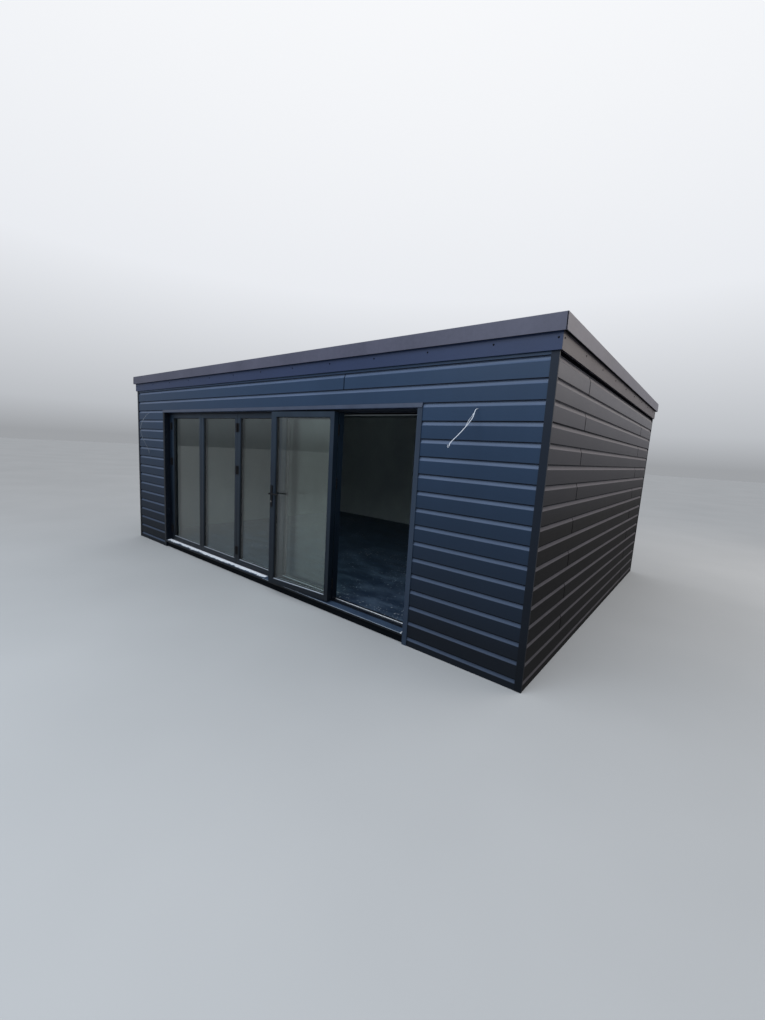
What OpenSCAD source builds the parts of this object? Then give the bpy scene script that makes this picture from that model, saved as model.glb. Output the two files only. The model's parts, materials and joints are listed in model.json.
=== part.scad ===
/* [Building] */
// Width outside the cladding, left to right
building_w = 6970; // [6600:10:8000]
// Depth outside the cladding, front to back
building_d = 4970; // [3600:10:6000]
// Height of the wall panels above the ground
wall_h = 2545; // [2500:5:2700]
// Thickness of the timber frame base
base_h = 85; // [60:5:100]
// Thickness of the floor boards
floor_t = 25; // [18:1:30]
// Thickness of the insulated timber wall panels
wall_t = 160; // [140:5:200]
// Thickness of the plasterboard lining
lining_t = 15; // [10:1:20]

/* [Cladding] */
// Height that each shiplap board covers
board_pitch = 150; // [120:5:180]
// Height of the hollow at the top of each board
cove_h = 34; // [20:1:40]
// Depth of the hollow
cove_d = 12; // [6:1:16]
// Thickness of a board with its battens
clad_t = 22; // [20:1:30]
// Height of the first exposed board edge above the ground
first_lip = 88; // [60:1:150]
// Width of a corner trim on the front and back walls
corner_w = 55; // [40:1:80]
// Width of a corner trim on the side walls
corner_return = 14; // [10:1:20]
// How far the corner trims stand proud of the boards
corner_proud = 2; // [1:0.5:4]

/* [Doorway] */
// Distance from the left corner to the doorway
door_left = 1016; // [800:1:1100]
// Clear width of the doorway between its trims
door_w = 4822; // [4400:1:4950]
// Height of the underside of the head trim
head_h = 2154; // [2050:1:2200]
// Depth from the board face to the door frame
reveal_d = 77; // [60:1:110]
// Thickness of the trim that lines the reveal
reveal_t = 12; // [8:1:16]
// Width of the trim flange that covers the board ends
flange_w = 50; // [30:1:70]
// Height of the sloping flange over the doorway
head_flange_h = 40; // [30:1:60]
// How far the side flanges stand proud
flange_proud = 6; // [3:1:8]
// How far the foot of the head flange stands proud
head_proud = 14; // [10:1:20]

/* [Folding doors] */
// Width of the door frame beside the leaves
jamb_face = 50; // [40:1:70]
// Height of the door frame head that shows under the trim
head_face = 16; // [10:1:30]
// Depth of the door frame
frame_d = 75; // [72:1:80]
// Thickness of a door leaf
leaf_t = 65; // [56:1:66]
// Face width of the stiles and rails
stile_w = 60; // [55:1:80]
// Face width of the stile that holds the lock
lock_stile_w = 80; // [60:1:95]
// Gap between neighbouring leaves
leaf_gap = 5; // [4:0.5:7]
// Gap between the free edge of the open leaf and its jamb when shut
lock_gap = 8; // [8:0.5:10]
// Gap under the leaves
foot_gap = 12; // [6:1:14]
// Gap over the leaves
top_gap = 5; // [5:1:8]
// Thickness of the sealed glass units
glass_t = 22; // [20:1:28]
// Depth of glass held in the leaf
glass_bite = 12; // [8:1:16]
// Depth from the leaf face to the glass
glass_inset = 20; // [16:1:22]
// Angle that the last leaf stands open
open_angle = 176; // [100:1:177]
// Radius of a hinge barrel
barrel_r = 7; // [6:0.5:7]
// Distance from the ends of a leaf to its outer hinges
hinge_end = 180; // [120:1:260]
// Radius of a hinge pin
pin_r = 3; // [2:0.5:4]
// Height of a hinge
hinge_h = 114; // [80:1:140]
// Height of the upper middle hinge above the ground
grip_hinge_z = 1398; // [1250:1:1600]
// Height of the handle levers above the ground
lever_z = 1200; // [1000:1:1250]
// Distance from the levers down to the middle of the lock barrels
lock_drop = 92; // [72:1:92]
// Distance from the free edge of the last leaf to the middle of its handles
handle_in = 31; // [28:1:40]
// Height of a handle plate
plate_h = 260; // [240:1:280]
// Reach of a lever from the face of the leaf
lever_reach = 46; // [40:1:48]
// Length of a lever
lever_l = 136; // [100:1:140]

/* [Roof edge] */
// Height of the lower fascia board
fascia_h = 122; // [100:1:160]
// How far the lower fascia hangs over the top of the wall panels
fascia_lap = 27; // [10:1:75]
// How far the face of the lower fascia stands out from the boards
fascia_out = 18; // [16:1:30]
// Thickness of the lower fascia
fascia_t = 9; // [8:1:14]
// Height of the roof capping
capping_h = 119; // [100:1:160]
// How far the foot of the capping stands out from the boards
capping_out = 46; // [40:1:70]
// Thickness of the capping sheet
capping_t = 4; // [3:0.5:5]
// Width of the capping on top of the roof
capping_top_w = 120; // [80:5:200]
// Height of the raised edge over the membrane
kerb_h = 17; // [12:1:30]
// Thickness of the roof membrane
membrane_t = 3; // [2:0.5:4]
// Width of the open joint at a mitre
mitre_gap = 1; // [0.6:0.1:2]

/* [Threshold] */
// Height of the threshold top above the floor frame
threshold_h = 30; // [20:1:40]
// Height of the upstand and stops behind the leaves
stop_h = 8; // [8:1:14]
// Thickness of the upstand and stops
stop_t = 4; // [3:0.5:5]
// How far the cill nose stands out from the boards
cill_out = 8; // [4:1:30]
// Step from the threshold top down to the cill
cill_step = 2; // [1:0.5:6]
// Depth of the cill nose
cill_nose = 26; // [18:1:35]
// Fall of the cill towards its nose
cill_fall = 7; // [4:1:12]
// Thickness of the cill sheet
cill_t = 4; // [3:0.5:6]

/* [Light cables] */
// Diameter of the cable tails
cable_d = 6; // [5:0.5:8]

/* [Hidden] */

// Outer corners of the cladding
left_x = -building_w / 2;
right_x = building_w / 2;
front_y = -building_d / 2;
back_y = building_d / 2;

// Faces of the wall panels and of the room
panel_in = clad_t + wall_t;
floor_z = base_h + floor_t;

// Doorway: clear opening, and the opening in the wall panels behind the trims
door_x0 = left_x + door_left;
door_x1 = door_x0 + door_w;
rough_x0 = door_x0 - reveal_t;
rough_x1 = door_x1 + reveal_t;
rough_z = head_h + reveal_t;
frame_y0 = front_y + reveal_d;
frame_y1 = frame_y0 + frame_d;
threshold_z = base_h + threshold_h;

// Door leaves
leaf_count = 5;
leaf_foot = threshold_z + foot_gap;
frame_head_z = head_h - head_face;
lining_drop = 29;
lining_head_z = frame_head_z - lining_drop;
leaf_top = frame_head_z - top_gap;
leaf_h = leaf_top - leaf_foot;
leaf_x0 = door_x0 + jamb_face + leaf_gap;
lead_extra = lock_stile_w - stile_w;
leaf_w = (door_w - 2 * jamb_face - leaf_count * leaf_gap - lock_gap - lead_extra) / leaf_count;
lead_w = leaf_w + lead_extra;
leaf_step = leaf_w + leaf_gap;
fixed_leaves = leaf_count - 1;
lead_x0 = leaf_x0 + fixed_leaves * leaf_step;
function leaf_left(n) = leaf_x0 + n * leaf_step;

// Pivot of the last leaf: in the gap beside it and just outside its face
barrel_clear = 1;
pivot_x = lead_x0 - leaf_gap / 2;
pivot_y = frame_y0 - barrel_r - barrel_clear;
hinge_zs = [leaf_foot + hinge_end, grip_hinge_z, leaf_top - hinge_end];
knuckle_h = hinge_h / 3;
knuckle_gap = 0.5;
pin_clear = 0.05;
hinge_leaf_w = 34;
hinge_leaf_t = 3;
plate_w = 30;
plate_t = 8;
lever_d = 18;
neck_r = 9;
lever_rise = 32;
barrel_out = 4;

// Roof edge levels
capping_lap = 5;
fascia_z = wall_h - fascia_lap;
deck_step_z = fascia_z + fascia_h;
capping_foot_z = deck_step_z - capping_lap;
capping_top_z = capping_foot_z + capping_h;
membrane_z = capping_top_z - kerb_h;
deck_top_z = membrane_z - membrane_t;
capping_backing = 10;
deck_edge_out = capping_out - capping_backing;
mitre_far = 400;

// Routes of the light cables, from the board face outwards, as x, y, z
left_tail_route = [
    [-3028, -2485, 2148], [-3028, -2503, 2143], [-3029, -2519, 2127],
    [-3030, -2540, 2099], [-3030, -2570, 2056], [-3031, -2598, 2004],
    [-3031, -2616, 1948], [-3032, -2624, 1890], [-3032, -2622, 1832],
    [-3032, -2609, 1778], [-3031, -2588, 1720], [-3031, -2562, 1656],
    [-3030, -2530, 1594], [-3029, -2509, 1546], [-3028, -2500, 1492]
];
right_tail_route = [
    [2915, -2485, 2136], [2914, -2503, 2133], [2912, -2518, 2120],
    [2910, -2528, 2098], [2908, -2541, 2066], [2905, -2565, 2040],
    [2903, -2591, 2016], [2900, -2623, 1991], [2897, -2659, 1963],
    [2894, -2692, 1939], [2891, -2724, 1916], [2888, -2760, 1893],
    [2886, -2794, 1871], [2884, -2816, 1852], [2883, -2826, 1834]
];

module box(x0, x1, y0, y1, z0, z1) {
    translate([x0, y0, z0]) cube([x1 - x0, y1 - y0, z1 - z0]);
}

// Section of the shiplap wall from height z0 to z1: x is depth behind the board face.
// The hollow is an arc that leaves the face at a sharp edge and ends upright under the next board.
cove_steps = 6;
cove_r = (cove_h * cove_h + cove_d * cove_d) / (2 * cove_d);
cove_sweep = asin(cove_h / cove_r);
function cove(n) = [
    for (i = [cove_steps : -1 : 0])
        let (a = cove_sweep * i / cove_steps)
        [cove_d - cove_r * (1 - cos(a)), first_lip + n * board_pitch - cove_r * sin(a)]
];
function shiplap_edge(n0, n1) = [
    for (n = [n0 : n1], p = concat([[0, first_lip + (n - 1) * board_pitch]], cove(n))) p
];
module shiplap_section(z0, z1) {
    n0 = floor((z0 - first_lip) / board_pitch) + 1;
    n1 = ceil((z1 - first_lip) / board_pitch) + 1;
    low = first_lip + (n0 - 1) * board_pitch;
    high = first_lip + n1 * board_pitch;
    intersection() {
        polygon(concat(shiplap_edge(n0, n1), [[clad_t, high], [clad_t, low]]));
        translate([-1, z0]) square([clad_t + 2, z1 - z0]);
    }
}

// A run of boards on the front wall, from x0 to x1
module front_boards(x0, x1, z0, z1) {
    color("#3a4048")
    translate([x0, front_y, 0]) rotate([90, 0, 90])
    linear_extrude(x1 - x0) shiplap_section(z0, z1);
}

// A full wall of boards, turned to face along angle and length long
module wall_boards(angle, length, face) {
    color("#3a4048")
    rotate([0, 0, angle]) translate([-length / 2, -face, 0]) rotate([90, 0, 90])
    linear_extrude(length) shiplap_section(0, wall_h);
}

// Keeps the part of a side's trim that lies between its two 45 degree mitres
module mitred(half_length, half_depth) {
    intersection() {
        children();
        linear_extrude(capping_top_z + 10)
        polygon([
            [-half_length - mitre_far + mitre_gap / 2, -half_depth - mitre_far],
            [half_length + mitre_far - mitre_gap / 2, -half_depth - mitre_far],
            [half_length - mitre_far - mitre_gap / 2, -half_depth + mitre_far],
            [-half_length + mitre_far + mitre_gap / 2, -half_depth + mitre_far]
        ]);
    }
}

// A trim along one side of the roof, from a section drawn as outward distance and height
module roof_side(angle, half_length, half_depth) {
    run = half_length + mitre_far;
    rotate([0, 0, angle])
    mitred(half_length, half_depth)
    translate([run, -half_depth, 0]) rotate([90, 0, -90])
    linear_extrude(2 * run) children();
}

module fascia_section() {
    translate([fascia_out - fascia_t, fascia_z]) square([fascia_t, fascia_h]);
}

// Bent sheet: a face that leans in to a rounded rim, then a slope down to the roof and a flat
module capping_section() {
    lean = 2;
    rim_r = 4;
    rim_w = 9;
    slope_w = 9;
    rim_x = capping_out - lean - rim_r;
    inner_x = rim_x - rim_w;
    polygon(concat(
        [[capping_out, capping_foot_z]],
        [for (a = [0 : 30 : 90])
            [rim_x + rim_r * cos(a), capping_top_z - rim_r + rim_r * sin(a)]],
        [
            [inner_x, capping_top_z],
            [inner_x - slope_w, membrane_z + capping_t],
            [capping_out - capping_top_w, membrane_z + capping_t],
            [capping_out - capping_top_w, membrane_z],
            [deck_edge_out, membrane_z],
            [capping_out - lean - capping_t, membrane_z],
            [capping_out - capping_t, capping_foot_z]
        ]
    ));
}

// Inner edge of a stile or rail that is w wide: distance in from the leaf's edge, depth from its face
bevel = 6;
glass_back = glass_inset + glass_t;
function bar_edge(w) = [
    [w - bevel - 1, -1], [w, bevel], [w, glass_inset], [w - glass_bite, glass_inset],
    [w - glass_bite, glass_back], [w, glass_back], [w, leaf_t - bevel], [w - bevel - 1, leaf_t + 1]
];

// Section of the space between two bars of a leaf, w0 and w1 wide, whose outer edges are span apart
module between_bars(span, w0, w1) {
    far = bar_edge(w1);
    polygon(concat(
        bar_edge(w0),
        [for (i = [len(far) - 1 : -1 : 0]) [span - far[i][0], far[i][1]]]
    ));
}

// A leaf frame with its lower left corner at the origin and its outer face at y = 0. The space
// between the stiles and that between the rails cross in its opening, bevelled and rebated all round.
// Its right stile is free_w wide, and the other bars are stile_w.
module leaf_frame(width, free_w) {
    difference() {
        box(0, width, 0, leaf_t, 0, leaf_h);
        intersection() {
            linear_extrude(leaf_h) between_bars(width, stile_w, free_w);
            mirror([1, 0, 0]) rotate([0, -90, 0])
            linear_extrude(width) between_bars(leaf_h, stile_w, stile_w);
        }
    }
}

module leaf_pane(width, free_w) {
    held = glass_bite - 1;
    edge = stile_w - held;
    box(edge, width - free_w + held, glass_inset, glass_inset + glass_t, edge, leaf_h - edge);
}

module fixed_leaf(n) {
    color("#4a4f57") translate([leaf_left(n), frame_y0, leaf_foot]) leaf_frame(leaf_w, stile_w);
}

// Swings what is drawn in the shut position about the pivot to where the leaf stands open
module opened() {
    translate([pivot_x, pivot_y, 0]) rotate([0, 0, -open_angle]) translate([-pivot_x, -pivot_y, 0])
    children();
}

// Outer knuckles, pin and screwed leaf of a hinge on the leaf left of x
module hinge_fixed_half(x, z) {
    translate([x, pivot_y, z]) {
        for (s = [-1, 1])
            translate([0, 0, s * knuckle_h - knuckle_h / 2 + (s > 0 ? knuckle_gap : 0)])
            cylinder(r = barrel_r, h = knuckle_h - knuckle_gap, $fn = 32);
        translate([0, 0, -hinge_h / 2]) cylinder(r = pin_r, h = hinge_h, $fn = 32);
        for (s = [-1, 1])
            hinge_web(-1, s * knuckle_h + (s > 0 ? knuckle_gap : -knuckle_gap) / 2, knuckle_h - knuckle_gap);
        hinge_plate(-1);
    }
}

// Middle knuckle and screwed leaf of a hinge on the leaf right of x
module hinge_moving_half(x, z) {
    translate([x, pivot_y, z])
    difference() {
        union() {
            translate([0, 0, -knuckle_h / 2 + knuckle_gap])
            cylinder(r = barrel_r, h = knuckle_h - 2 * knuckle_gap, $fn = 32);
            hinge_web(1, 0, knuckle_h - 2 * knuckle_gap);
            hinge_plate(1);
        }
        cylinder(r = pin_r + pin_clear, h = hinge_h, center = true, $fn = 32);
    }
}

// Web that joins a knuckle to its plate, side -1 for left and 1 for right
module hinge_web(side, z, height) {
    seat = barrel_r + barrel_clear;
    box(side < 0 ? -seat : 0, side < 0 ? 0 : seat, seat - hinge_leaf_t, seat, z - height / 2, z + height / 2);
}

module hinge_plate(side) {
    seat = barrel_r + barrel_clear;
    x0 = side < 0 ? -seat - hinge_leaf_w : seat;
    box(x0, x0 + hinge_leaf_w, seat - hinge_leaf_t, seat, -hinge_h / 2, hinge_h / 2);
}

// A shut hinge that joins two leaves which stand still
module hinge_closed(x, z) {
    translate([x, pivot_y, z]) {
        cylinder(r = barrel_r, h = hinge_h, center = true, $fn = 32);
        for (s = [-1, 1]) {
            hinge_web(s, 0, hinge_h);
            hinge_plate(s);
        }
    }
}

// Handle on one face: plate, neck, lever and lock barrel, with the face at y = 0 and the lever at z = 0
module handle_set() {
    end_r = plate_w / 2;
    middle = -lever_rise;
    lever_y = -lever_reach + lever_d / 2;
    rotate([90, 0, 0]) {
        for (s = [-1, 1])
            translate([0, middle + s * (plate_h / 2 - end_r), 0])
            cylinder(r = end_r, h = plate_t, $fn = 48);
        translate([-end_r, middle - plate_h / 2 + end_r, 0]) cube([plate_w, plate_h - plate_w, plate_t]);
        cylinder(r = neck_r, h = lever_reach, $fn = 32);
        translate([0, -lock_drop, 0]) cylinder(r = neck_r, h = plate_t + barrel_out, $fn = 32);
    }
    translate([0, lever_y, 0]) rotate([0, -90, 0]) {
        sphere(r = lever_d / 2, $fn = 32);
        cylinder(r = lever_d / 2, h = lever_l, $fn = 32);
        translate([0, 0, lever_l]) sphere(r = lever_d / 2, $fn = 32);
    }
}

// Tube with rings square to a route, swept by hand-set points
tube_sides = 8;
function unit(v) = v / norm(v);
function tangent(p, i) =
    i == 0 ? unit(p[1] - p[0]) :
    i == len(p) - 1 ? unit(p[i] - p[i - 1]) : unit(p[i + 1] - p[i - 1]);
function ring_at(p, i, r) =
    let (t = tangent(p, i), u = unit(cross(t, [1, 0, 0])), v = cross(t, u))
    [for (k = [0 : tube_sides - 1])
        p[i] + r * (cos(360 * k / tube_sides) * u + sin(360 * k / tube_sides) * v)];
function curve_point(a, b, c, d, t) =
    0.5 * (2 * b + (c - a) * t + (2 * a - 5 * b + 4 * c - d) * t * t
    + (3 * b - a - 3 * c + d) * t * t * t);
function smooth_route(p, m) = [
    for (i = [0 : len(p) - 2], k = [0 : m - 1])
        curve_point(p[max(i - 1, 0)], p[i], p[i + 1], p[min(i + 2, len(p) - 1)], k / m),
    p[len(p) - 1]
];
module tube(route, r) {
    n = len(route);
    rings = [for (i = [0 : n - 1]) each ring_at(route, i, r)];
    sides = [
        for (i = [0 : n - 2], k = [0 : tube_sides - 1])
            let (a = i * tube_sides + k, b = i * tube_sides + (k + 1) % tube_sides)
            [a, b, b + tube_sides, a + tube_sides]
    ];
    start = [[for (k = [tube_sides - 1 : -1 : 0]) k]];
    stop = [[for (k = [0 : tube_sides - 1]) (n - 1) * tube_sides + k]];
    polyhedron(rings, concat(sides, start, stop), convexity = 4);
}

module base_frame() {
    color("#33302c")
    box(left_x + clad_t, right_x - clad_t, front_y + clad_t, back_y - clad_t, 0, base_h);
}

// Floor boards of the room, run on through the doorway to the back of the door frame
module floor_deck() {
    color("#3c4046")
    difference() {
        union() {
            box(left_x + panel_in, right_x - panel_in, front_y + panel_in, back_y - panel_in,
                base_h, floor_z);
            box(rough_x0, rough_x1, front_y + clad_t, front_y + panel_in, base_h, floor_z);
        }
        box(rough_x0 - 1, rough_x1 + 1, front_y, frame_y1, base_h - 1, floor_z + 1);
    }
}

module front_panel(x0, x1, z0) {
    color("#b8a27c") box(x0, x1, front_y + clad_t, front_y + panel_in, z0, wall_h);
}

module front_wall_left() {
    front_panel(left_x + clad_t, rough_x0, base_h);
}

module front_wall_right() {
    front_panel(rough_x1, right_x - clad_t, base_h);
}

module front_wall_header() {
    front_panel(rough_x0, rough_x1, rough_z);
}

module left_wall() {
    color("#b8a27c")
    box(left_x + clad_t, left_x + panel_in, front_y + panel_in, back_y - panel_in, base_h, wall_h);
}

module right_wall() {
    color("#b8a27c")
    box(right_x - panel_in, right_x - clad_t, front_y + panel_in, back_y - panel_in, base_h, wall_h);
}

module back_wall() {
    color("#b8a27c")
    box(left_x + clad_t, right_x - clad_t, back_y - panel_in, back_y - clad_t, base_h, wall_h);
}

// Plastered lining of the walls and ceiling, open to the floor, with a boxed reveal that runs in
// to the back of the door frame
module room_lining() {
    x0 = left_x + panel_in;
    x1 = right_x - panel_in;
    y0 = front_y + panel_in;
    y1 = back_y - panel_in;
    inner_y = y0 + lining_t;
    cut = jamb_face - stop_h;
    color("#cfcfca") {
        difference() {
            box(x0, x1, y0, y1, floor_z, wall_h);
            box(x0 + lining_t, x1 - lining_t, inner_y, y1 - lining_t, floor_z - 1, wall_h - lining_t);
            box(rough_x0, rough_x1, y0 - 1, inner_y + 1, floor_z - 1, rough_z);
        }
        difference() {
            box(rough_x0, rough_x1, frame_y1, inner_y, floor_z, rough_z);
            box(door_x0 + cut, door_x1 - cut, frame_y1 - 1, inner_y + 1, floor_z - 1, lining_head_z);
        }
    }
}

module front_cladding_left() {
    front_boards(left_x + corner_w, rough_x0, 0, wall_h);
}

module front_cladding_right() {
    front_boards(rough_x1, right_x - corner_w, 0, wall_h);
}

module front_cladding_header() {
    front_boards(rough_x0, rough_x1, rough_z, wall_h);
}

module left_cladding() {
    wall_boards(-90, building_d - 2 * corner_return, building_w / 2);
}

module right_cladding() {
    wall_boards(90, building_d - 2 * corner_return, building_w / 2);
}

module back_cladding() {
    wall_boards(180, building_w - 2 * corner_w, building_d / 2);
}

// Corner trim at the front left, in plan from the outer corner of the boards
module corner_trim() {
    linear_extrude(wall_h)
    polygon([
        [-corner_proud, -corner_proud], [corner_w, -corner_proud], [corner_w, clad_t],
        [clad_t, clad_t], [clad_t, corner_return], [-corner_proud, corner_return]
    ]);
}

module corner_trims() {
    color("#3a4048")
    for (sx = [0, 1], sy = [0, 1])
        mirror([sx, 0, 0]) mirror([0, sy, 0]) translate([left_x, front_y, 0]) corner_trim();
}

// Side trim of the left jamb: a flange over the board ends, and a lining of the reveal above the base
module side_trim() {
    linear_extrude(head_h)
    polygon([
        [-flange_w, -flange_proud], [0, -flange_proud], [0, clad_t],
        [-reveal_t, clad_t], [-reveal_t, 0], [-flange_w, 0]
    ]);
    box(-reveal_t, 0, 0, reveal_d, base_h, head_h);
}

module door_trim_left() {
    color("#454b54") translate([door_x0, front_y, 0]) side_trim();
}

module door_trim_right() {
    color("#454b54") translate([door_x1, front_y, 0]) mirror([1, 0, 0]) side_trim();
}

// Head trim: a sloping flange that sheds water and a lining of the reveal
module door_trim_head() {
    lip = 5;
    color("#5a616c") {
        translate([door_x0 - flange_w, front_y, head_h]) rotate([90, 0, 90])
        linear_extrude(door_w + 2 * flange_w)
        polygon([[-head_proud, 0], [0, 0], [0, head_flange_h], [-lip, head_flange_h], [-head_proud, lip]]);
        box(rough_x0, rough_x1, front_y, frame_y0, head_h, rough_z);
    }
}

module deck_tier(out, z0, z1) {
    box(left_x - out, right_x + out, front_y - out, back_y + out, z0, z1);
}

module roof_deck() {
    color("#2f3033") {
        deck_tier(fascia_out - fascia_t, wall_h, deck_step_z);
        deck_tier(deck_edge_out, deck_step_z, deck_top_z);
    }
}

module roof_membrane() {
    color("#2b2c2e") deck_tier(deck_edge_out, deck_top_z, membrane_z);
}

module fascia_side(angle, half_length, half_depth) {
    color("#3f4550") roof_side(angle, half_length, half_depth) fascia_section();
}

module front_fascia() {
    fascia_side(0, building_w / 2, building_d / 2);
}

module back_fascia() {
    fascia_side(180, building_w / 2, building_d / 2);
}

module left_fascia() {
    fascia_side(-90, building_d / 2, building_w / 2);
}

module right_fascia() {
    fascia_side(90, building_d / 2, building_w / 2);
}

module capping_side(angle, half_length, half_depth) {
    color("#5b5d66") roof_side(angle, half_length, half_depth) capping_section();
}

module front_capping() {
    capping_side(0, building_w / 2, building_d / 2);
}

module back_capping() {
    capping_side(180, building_w / 2, building_d / 2);
}

module left_capping() {
    capping_side(-90, building_d / 2, building_w / 2);
}

module right_capping() {
    capping_side(90, building_d / 2, building_w / 2);
}

module door_frame_head() {
    color("#4a4f57") {
        box(door_x0 + jamb_face, door_x1 - jamb_face, frame_y0, frame_y1, frame_head_z, rough_z);
        box(door_x0 + jamb_face, door_x1 - jamb_face, frame_y1 - stop_t, frame_y1,
            frame_head_z - stop_h, frame_head_z);
    }
}

module door_frame_jambs() {
    color("#4a4f57")
    for (side = [0, 1])
        translate([side == 0 ? rough_x0 : rough_x1, 0, 0]) mirror([side, 0, 0]) {
            box(0, reveal_t + jamb_face, frame_y0, frame_y1, base_h, rough_z);
            box(reveal_t + jamb_face, reveal_t + jamb_face + stop_h, frame_y1 - stop_t, frame_y1,
                threshold_z + stop_h, frame_head_z - stop_h);
        }
}

module door_threshold() {
    rib_w = 8;
    rib_h = 3;
    mid_y = frame_y0 + leaf_t / 2;
    color("#4a4f57") {
        box(door_x0 + jamb_face, door_x1 - jamb_face, frame_y0, frame_y1, base_h, threshold_z);
        box(door_x0 + jamb_face, door_x1 - jamb_face, frame_y1 - stop_t, frame_y1,
            threshold_z, threshold_z + stop_h);
        box(door_x0 + jamb_face, door_x1 - jamb_face, mid_y - rib_w / 2, mid_y + rib_w / 2,
            threshold_z, threshold_z + rib_h);
    }
}

// Bent sheet cill, in section: x is negative in front of the door frame
module door_cill() {
    nose = reveal_d + cill_out;
    slope = cill_fall / nose;
    top = threshold_z - cill_step;
    color("#4a4f57")
    translate([door_x0, frame_y0, 0]) rotate([90, 0, 90])
    linear_extrude(door_w)
    polygon([
        [0, top], [0, base_h], [-cill_t, base_h], [-cill_t, top - cill_t - slope * cill_t],
        [-nose + cill_t, top - cill_fall - cill_t],
        [-nose + cill_t, top - cill_fall - cill_nose],
        [-nose, top - cill_fall - cill_nose],
        [-nose, top - cill_fall]
    ]);
}

module folding_leaf_1() { fixed_leaf(0); }

module folding_leaf_2() { fixed_leaf(1); }

module folding_leaf_3() { fixed_leaf(2); }

module folding_leaf_4() { fixed_leaf(3); }

module folding_glass() {
    color("#8fa6ad")
    for (n = [0 : fixed_leaves - 1])
        translate([leaf_left(n), frame_y0, leaf_foot]) leaf_pane(leaf_w, stile_w);
}

// Hinges outside at the jamb and every second meeting line, inside at the lines between,
// and the fixed halves for the last leaf
module fixed_hinges() {
    color("#1d1f22")
    for (z = hinge_zs) {
        for (n = [0 : 2 : fixed_leaves - 1])
            hinge_closed(leaf_left(n) - leaf_gap / 2, z);
        translate([0, 2 * frame_y0 + leaf_t, 0]) mirror([0, 1, 0])
        for (n = [1 : 2 : fixed_leaves - 1])
            hinge_closed(leaf_left(n) - leaf_gap / 2, z);
        hinge_fixed_half(pivot_x, z);
    }
}

module lead_leaf() {
    color("#4a4f57") opened()
    translate([lead_x0, frame_y0, leaf_foot]) leaf_frame(lead_w, lock_stile_w);
}

module lead_glass() {
    color("#8fa6ad") opened()
    translate([lead_x0, frame_y0, leaf_foot]) leaf_pane(lead_w, lock_stile_w);
}

module lead_handles() {
    x = lead_x0 + lead_w - handle_in;
    color("#1d1f22") opened() {
        translate([x, frame_y0, lever_z]) handle_set();
        translate([x, frame_y0 + leaf_t, lever_z]) mirror([0, 1, 0]) handle_set();
    }
}

module lead_hinges() {
    color("#1d1f22") opened() for (z = hinge_zs) hinge_moving_half(pivot_x, z);
}

module cable_tail_left() {
    color("#c9cbd0") tube(smooth_route(left_tail_route, 2), cable_d / 2);
}

module cable_tail_right() {
    color("#c9cbd0") tube(smooth_route(right_tail_route, 2), cable_d / 2);
}

base_frame();
floor_deck();
front_wall_left();
front_wall_right();
front_wall_header();
left_wall();
right_wall();
back_wall();
room_lining();
front_cladding_left();
front_cladding_right();
front_cladding_header();
left_cladding();
right_cladding();
back_cladding();
corner_trims();
door_trim_left();
door_trim_right();
door_trim_head();
roof_deck();
roof_membrane();
front_fascia();
back_fascia();
left_fascia();
right_fascia();
front_capping();
back_capping();
left_capping();
right_capping();
door_frame_head();
door_frame_jambs();
door_threshold();
door_cill();
folding_leaf_1();
folding_leaf_2();
folding_leaf_3();
folding_leaf_4();
folding_glass();
fixed_hinges();
lead_leaf();
lead_glass();
lead_handles();
lead_hinges();
cable_tail_left();
cable_tail_right();
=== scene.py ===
import json
import math
import random

import bmesh
import bpy
from mathutils import Matrix, Vector


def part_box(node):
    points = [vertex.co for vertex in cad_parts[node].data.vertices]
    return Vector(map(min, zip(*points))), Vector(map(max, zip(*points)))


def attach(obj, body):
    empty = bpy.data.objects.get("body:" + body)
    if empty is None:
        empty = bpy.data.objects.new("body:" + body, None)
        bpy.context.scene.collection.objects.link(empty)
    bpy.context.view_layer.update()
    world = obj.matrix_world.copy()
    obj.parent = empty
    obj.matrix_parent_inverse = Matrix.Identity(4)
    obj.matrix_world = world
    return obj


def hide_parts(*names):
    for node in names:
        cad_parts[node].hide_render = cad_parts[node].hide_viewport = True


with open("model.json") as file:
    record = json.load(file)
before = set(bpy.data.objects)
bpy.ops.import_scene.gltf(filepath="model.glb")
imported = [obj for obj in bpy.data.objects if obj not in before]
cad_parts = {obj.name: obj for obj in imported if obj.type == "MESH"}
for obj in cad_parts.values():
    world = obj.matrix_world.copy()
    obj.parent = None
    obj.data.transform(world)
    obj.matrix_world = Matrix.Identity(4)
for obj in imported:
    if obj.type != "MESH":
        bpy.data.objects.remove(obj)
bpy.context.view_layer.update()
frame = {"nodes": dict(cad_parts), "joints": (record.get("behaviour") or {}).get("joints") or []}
nodes = frame["nodes"]
scene = bpy.context.scene

# Camera
# It stands before the right-hand corner at head height with a wide lens. The three axes are the
# camera's own right, up and back directions in the frame of the building.
camera_right = Vector((0.77483, 0.62943, 0.05880))
camera_up = Vector((-0.13571, 0.07476, 0.98792))
camera_back = Vector((0.61743, -0.77345, 0.14334))
camera_place = Vector((4.439, -5.503, 1.779))
camera = bpy.data.objects.new("camera", bpy.data.cameras.new("camera"))
camera.data.lens = 14.67
camera.data.sensor_width = 36
camera.data.clip_start = 0.05
camera.data.clip_end = 200
camera.matrix_world = Matrix.Translation(camera_place) @ Matrix(
    (camera_right, camera_up, camera_back)).transposed().to_4x4()
scene.collection.objects.link(camera)
scene.camera = camera


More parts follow.
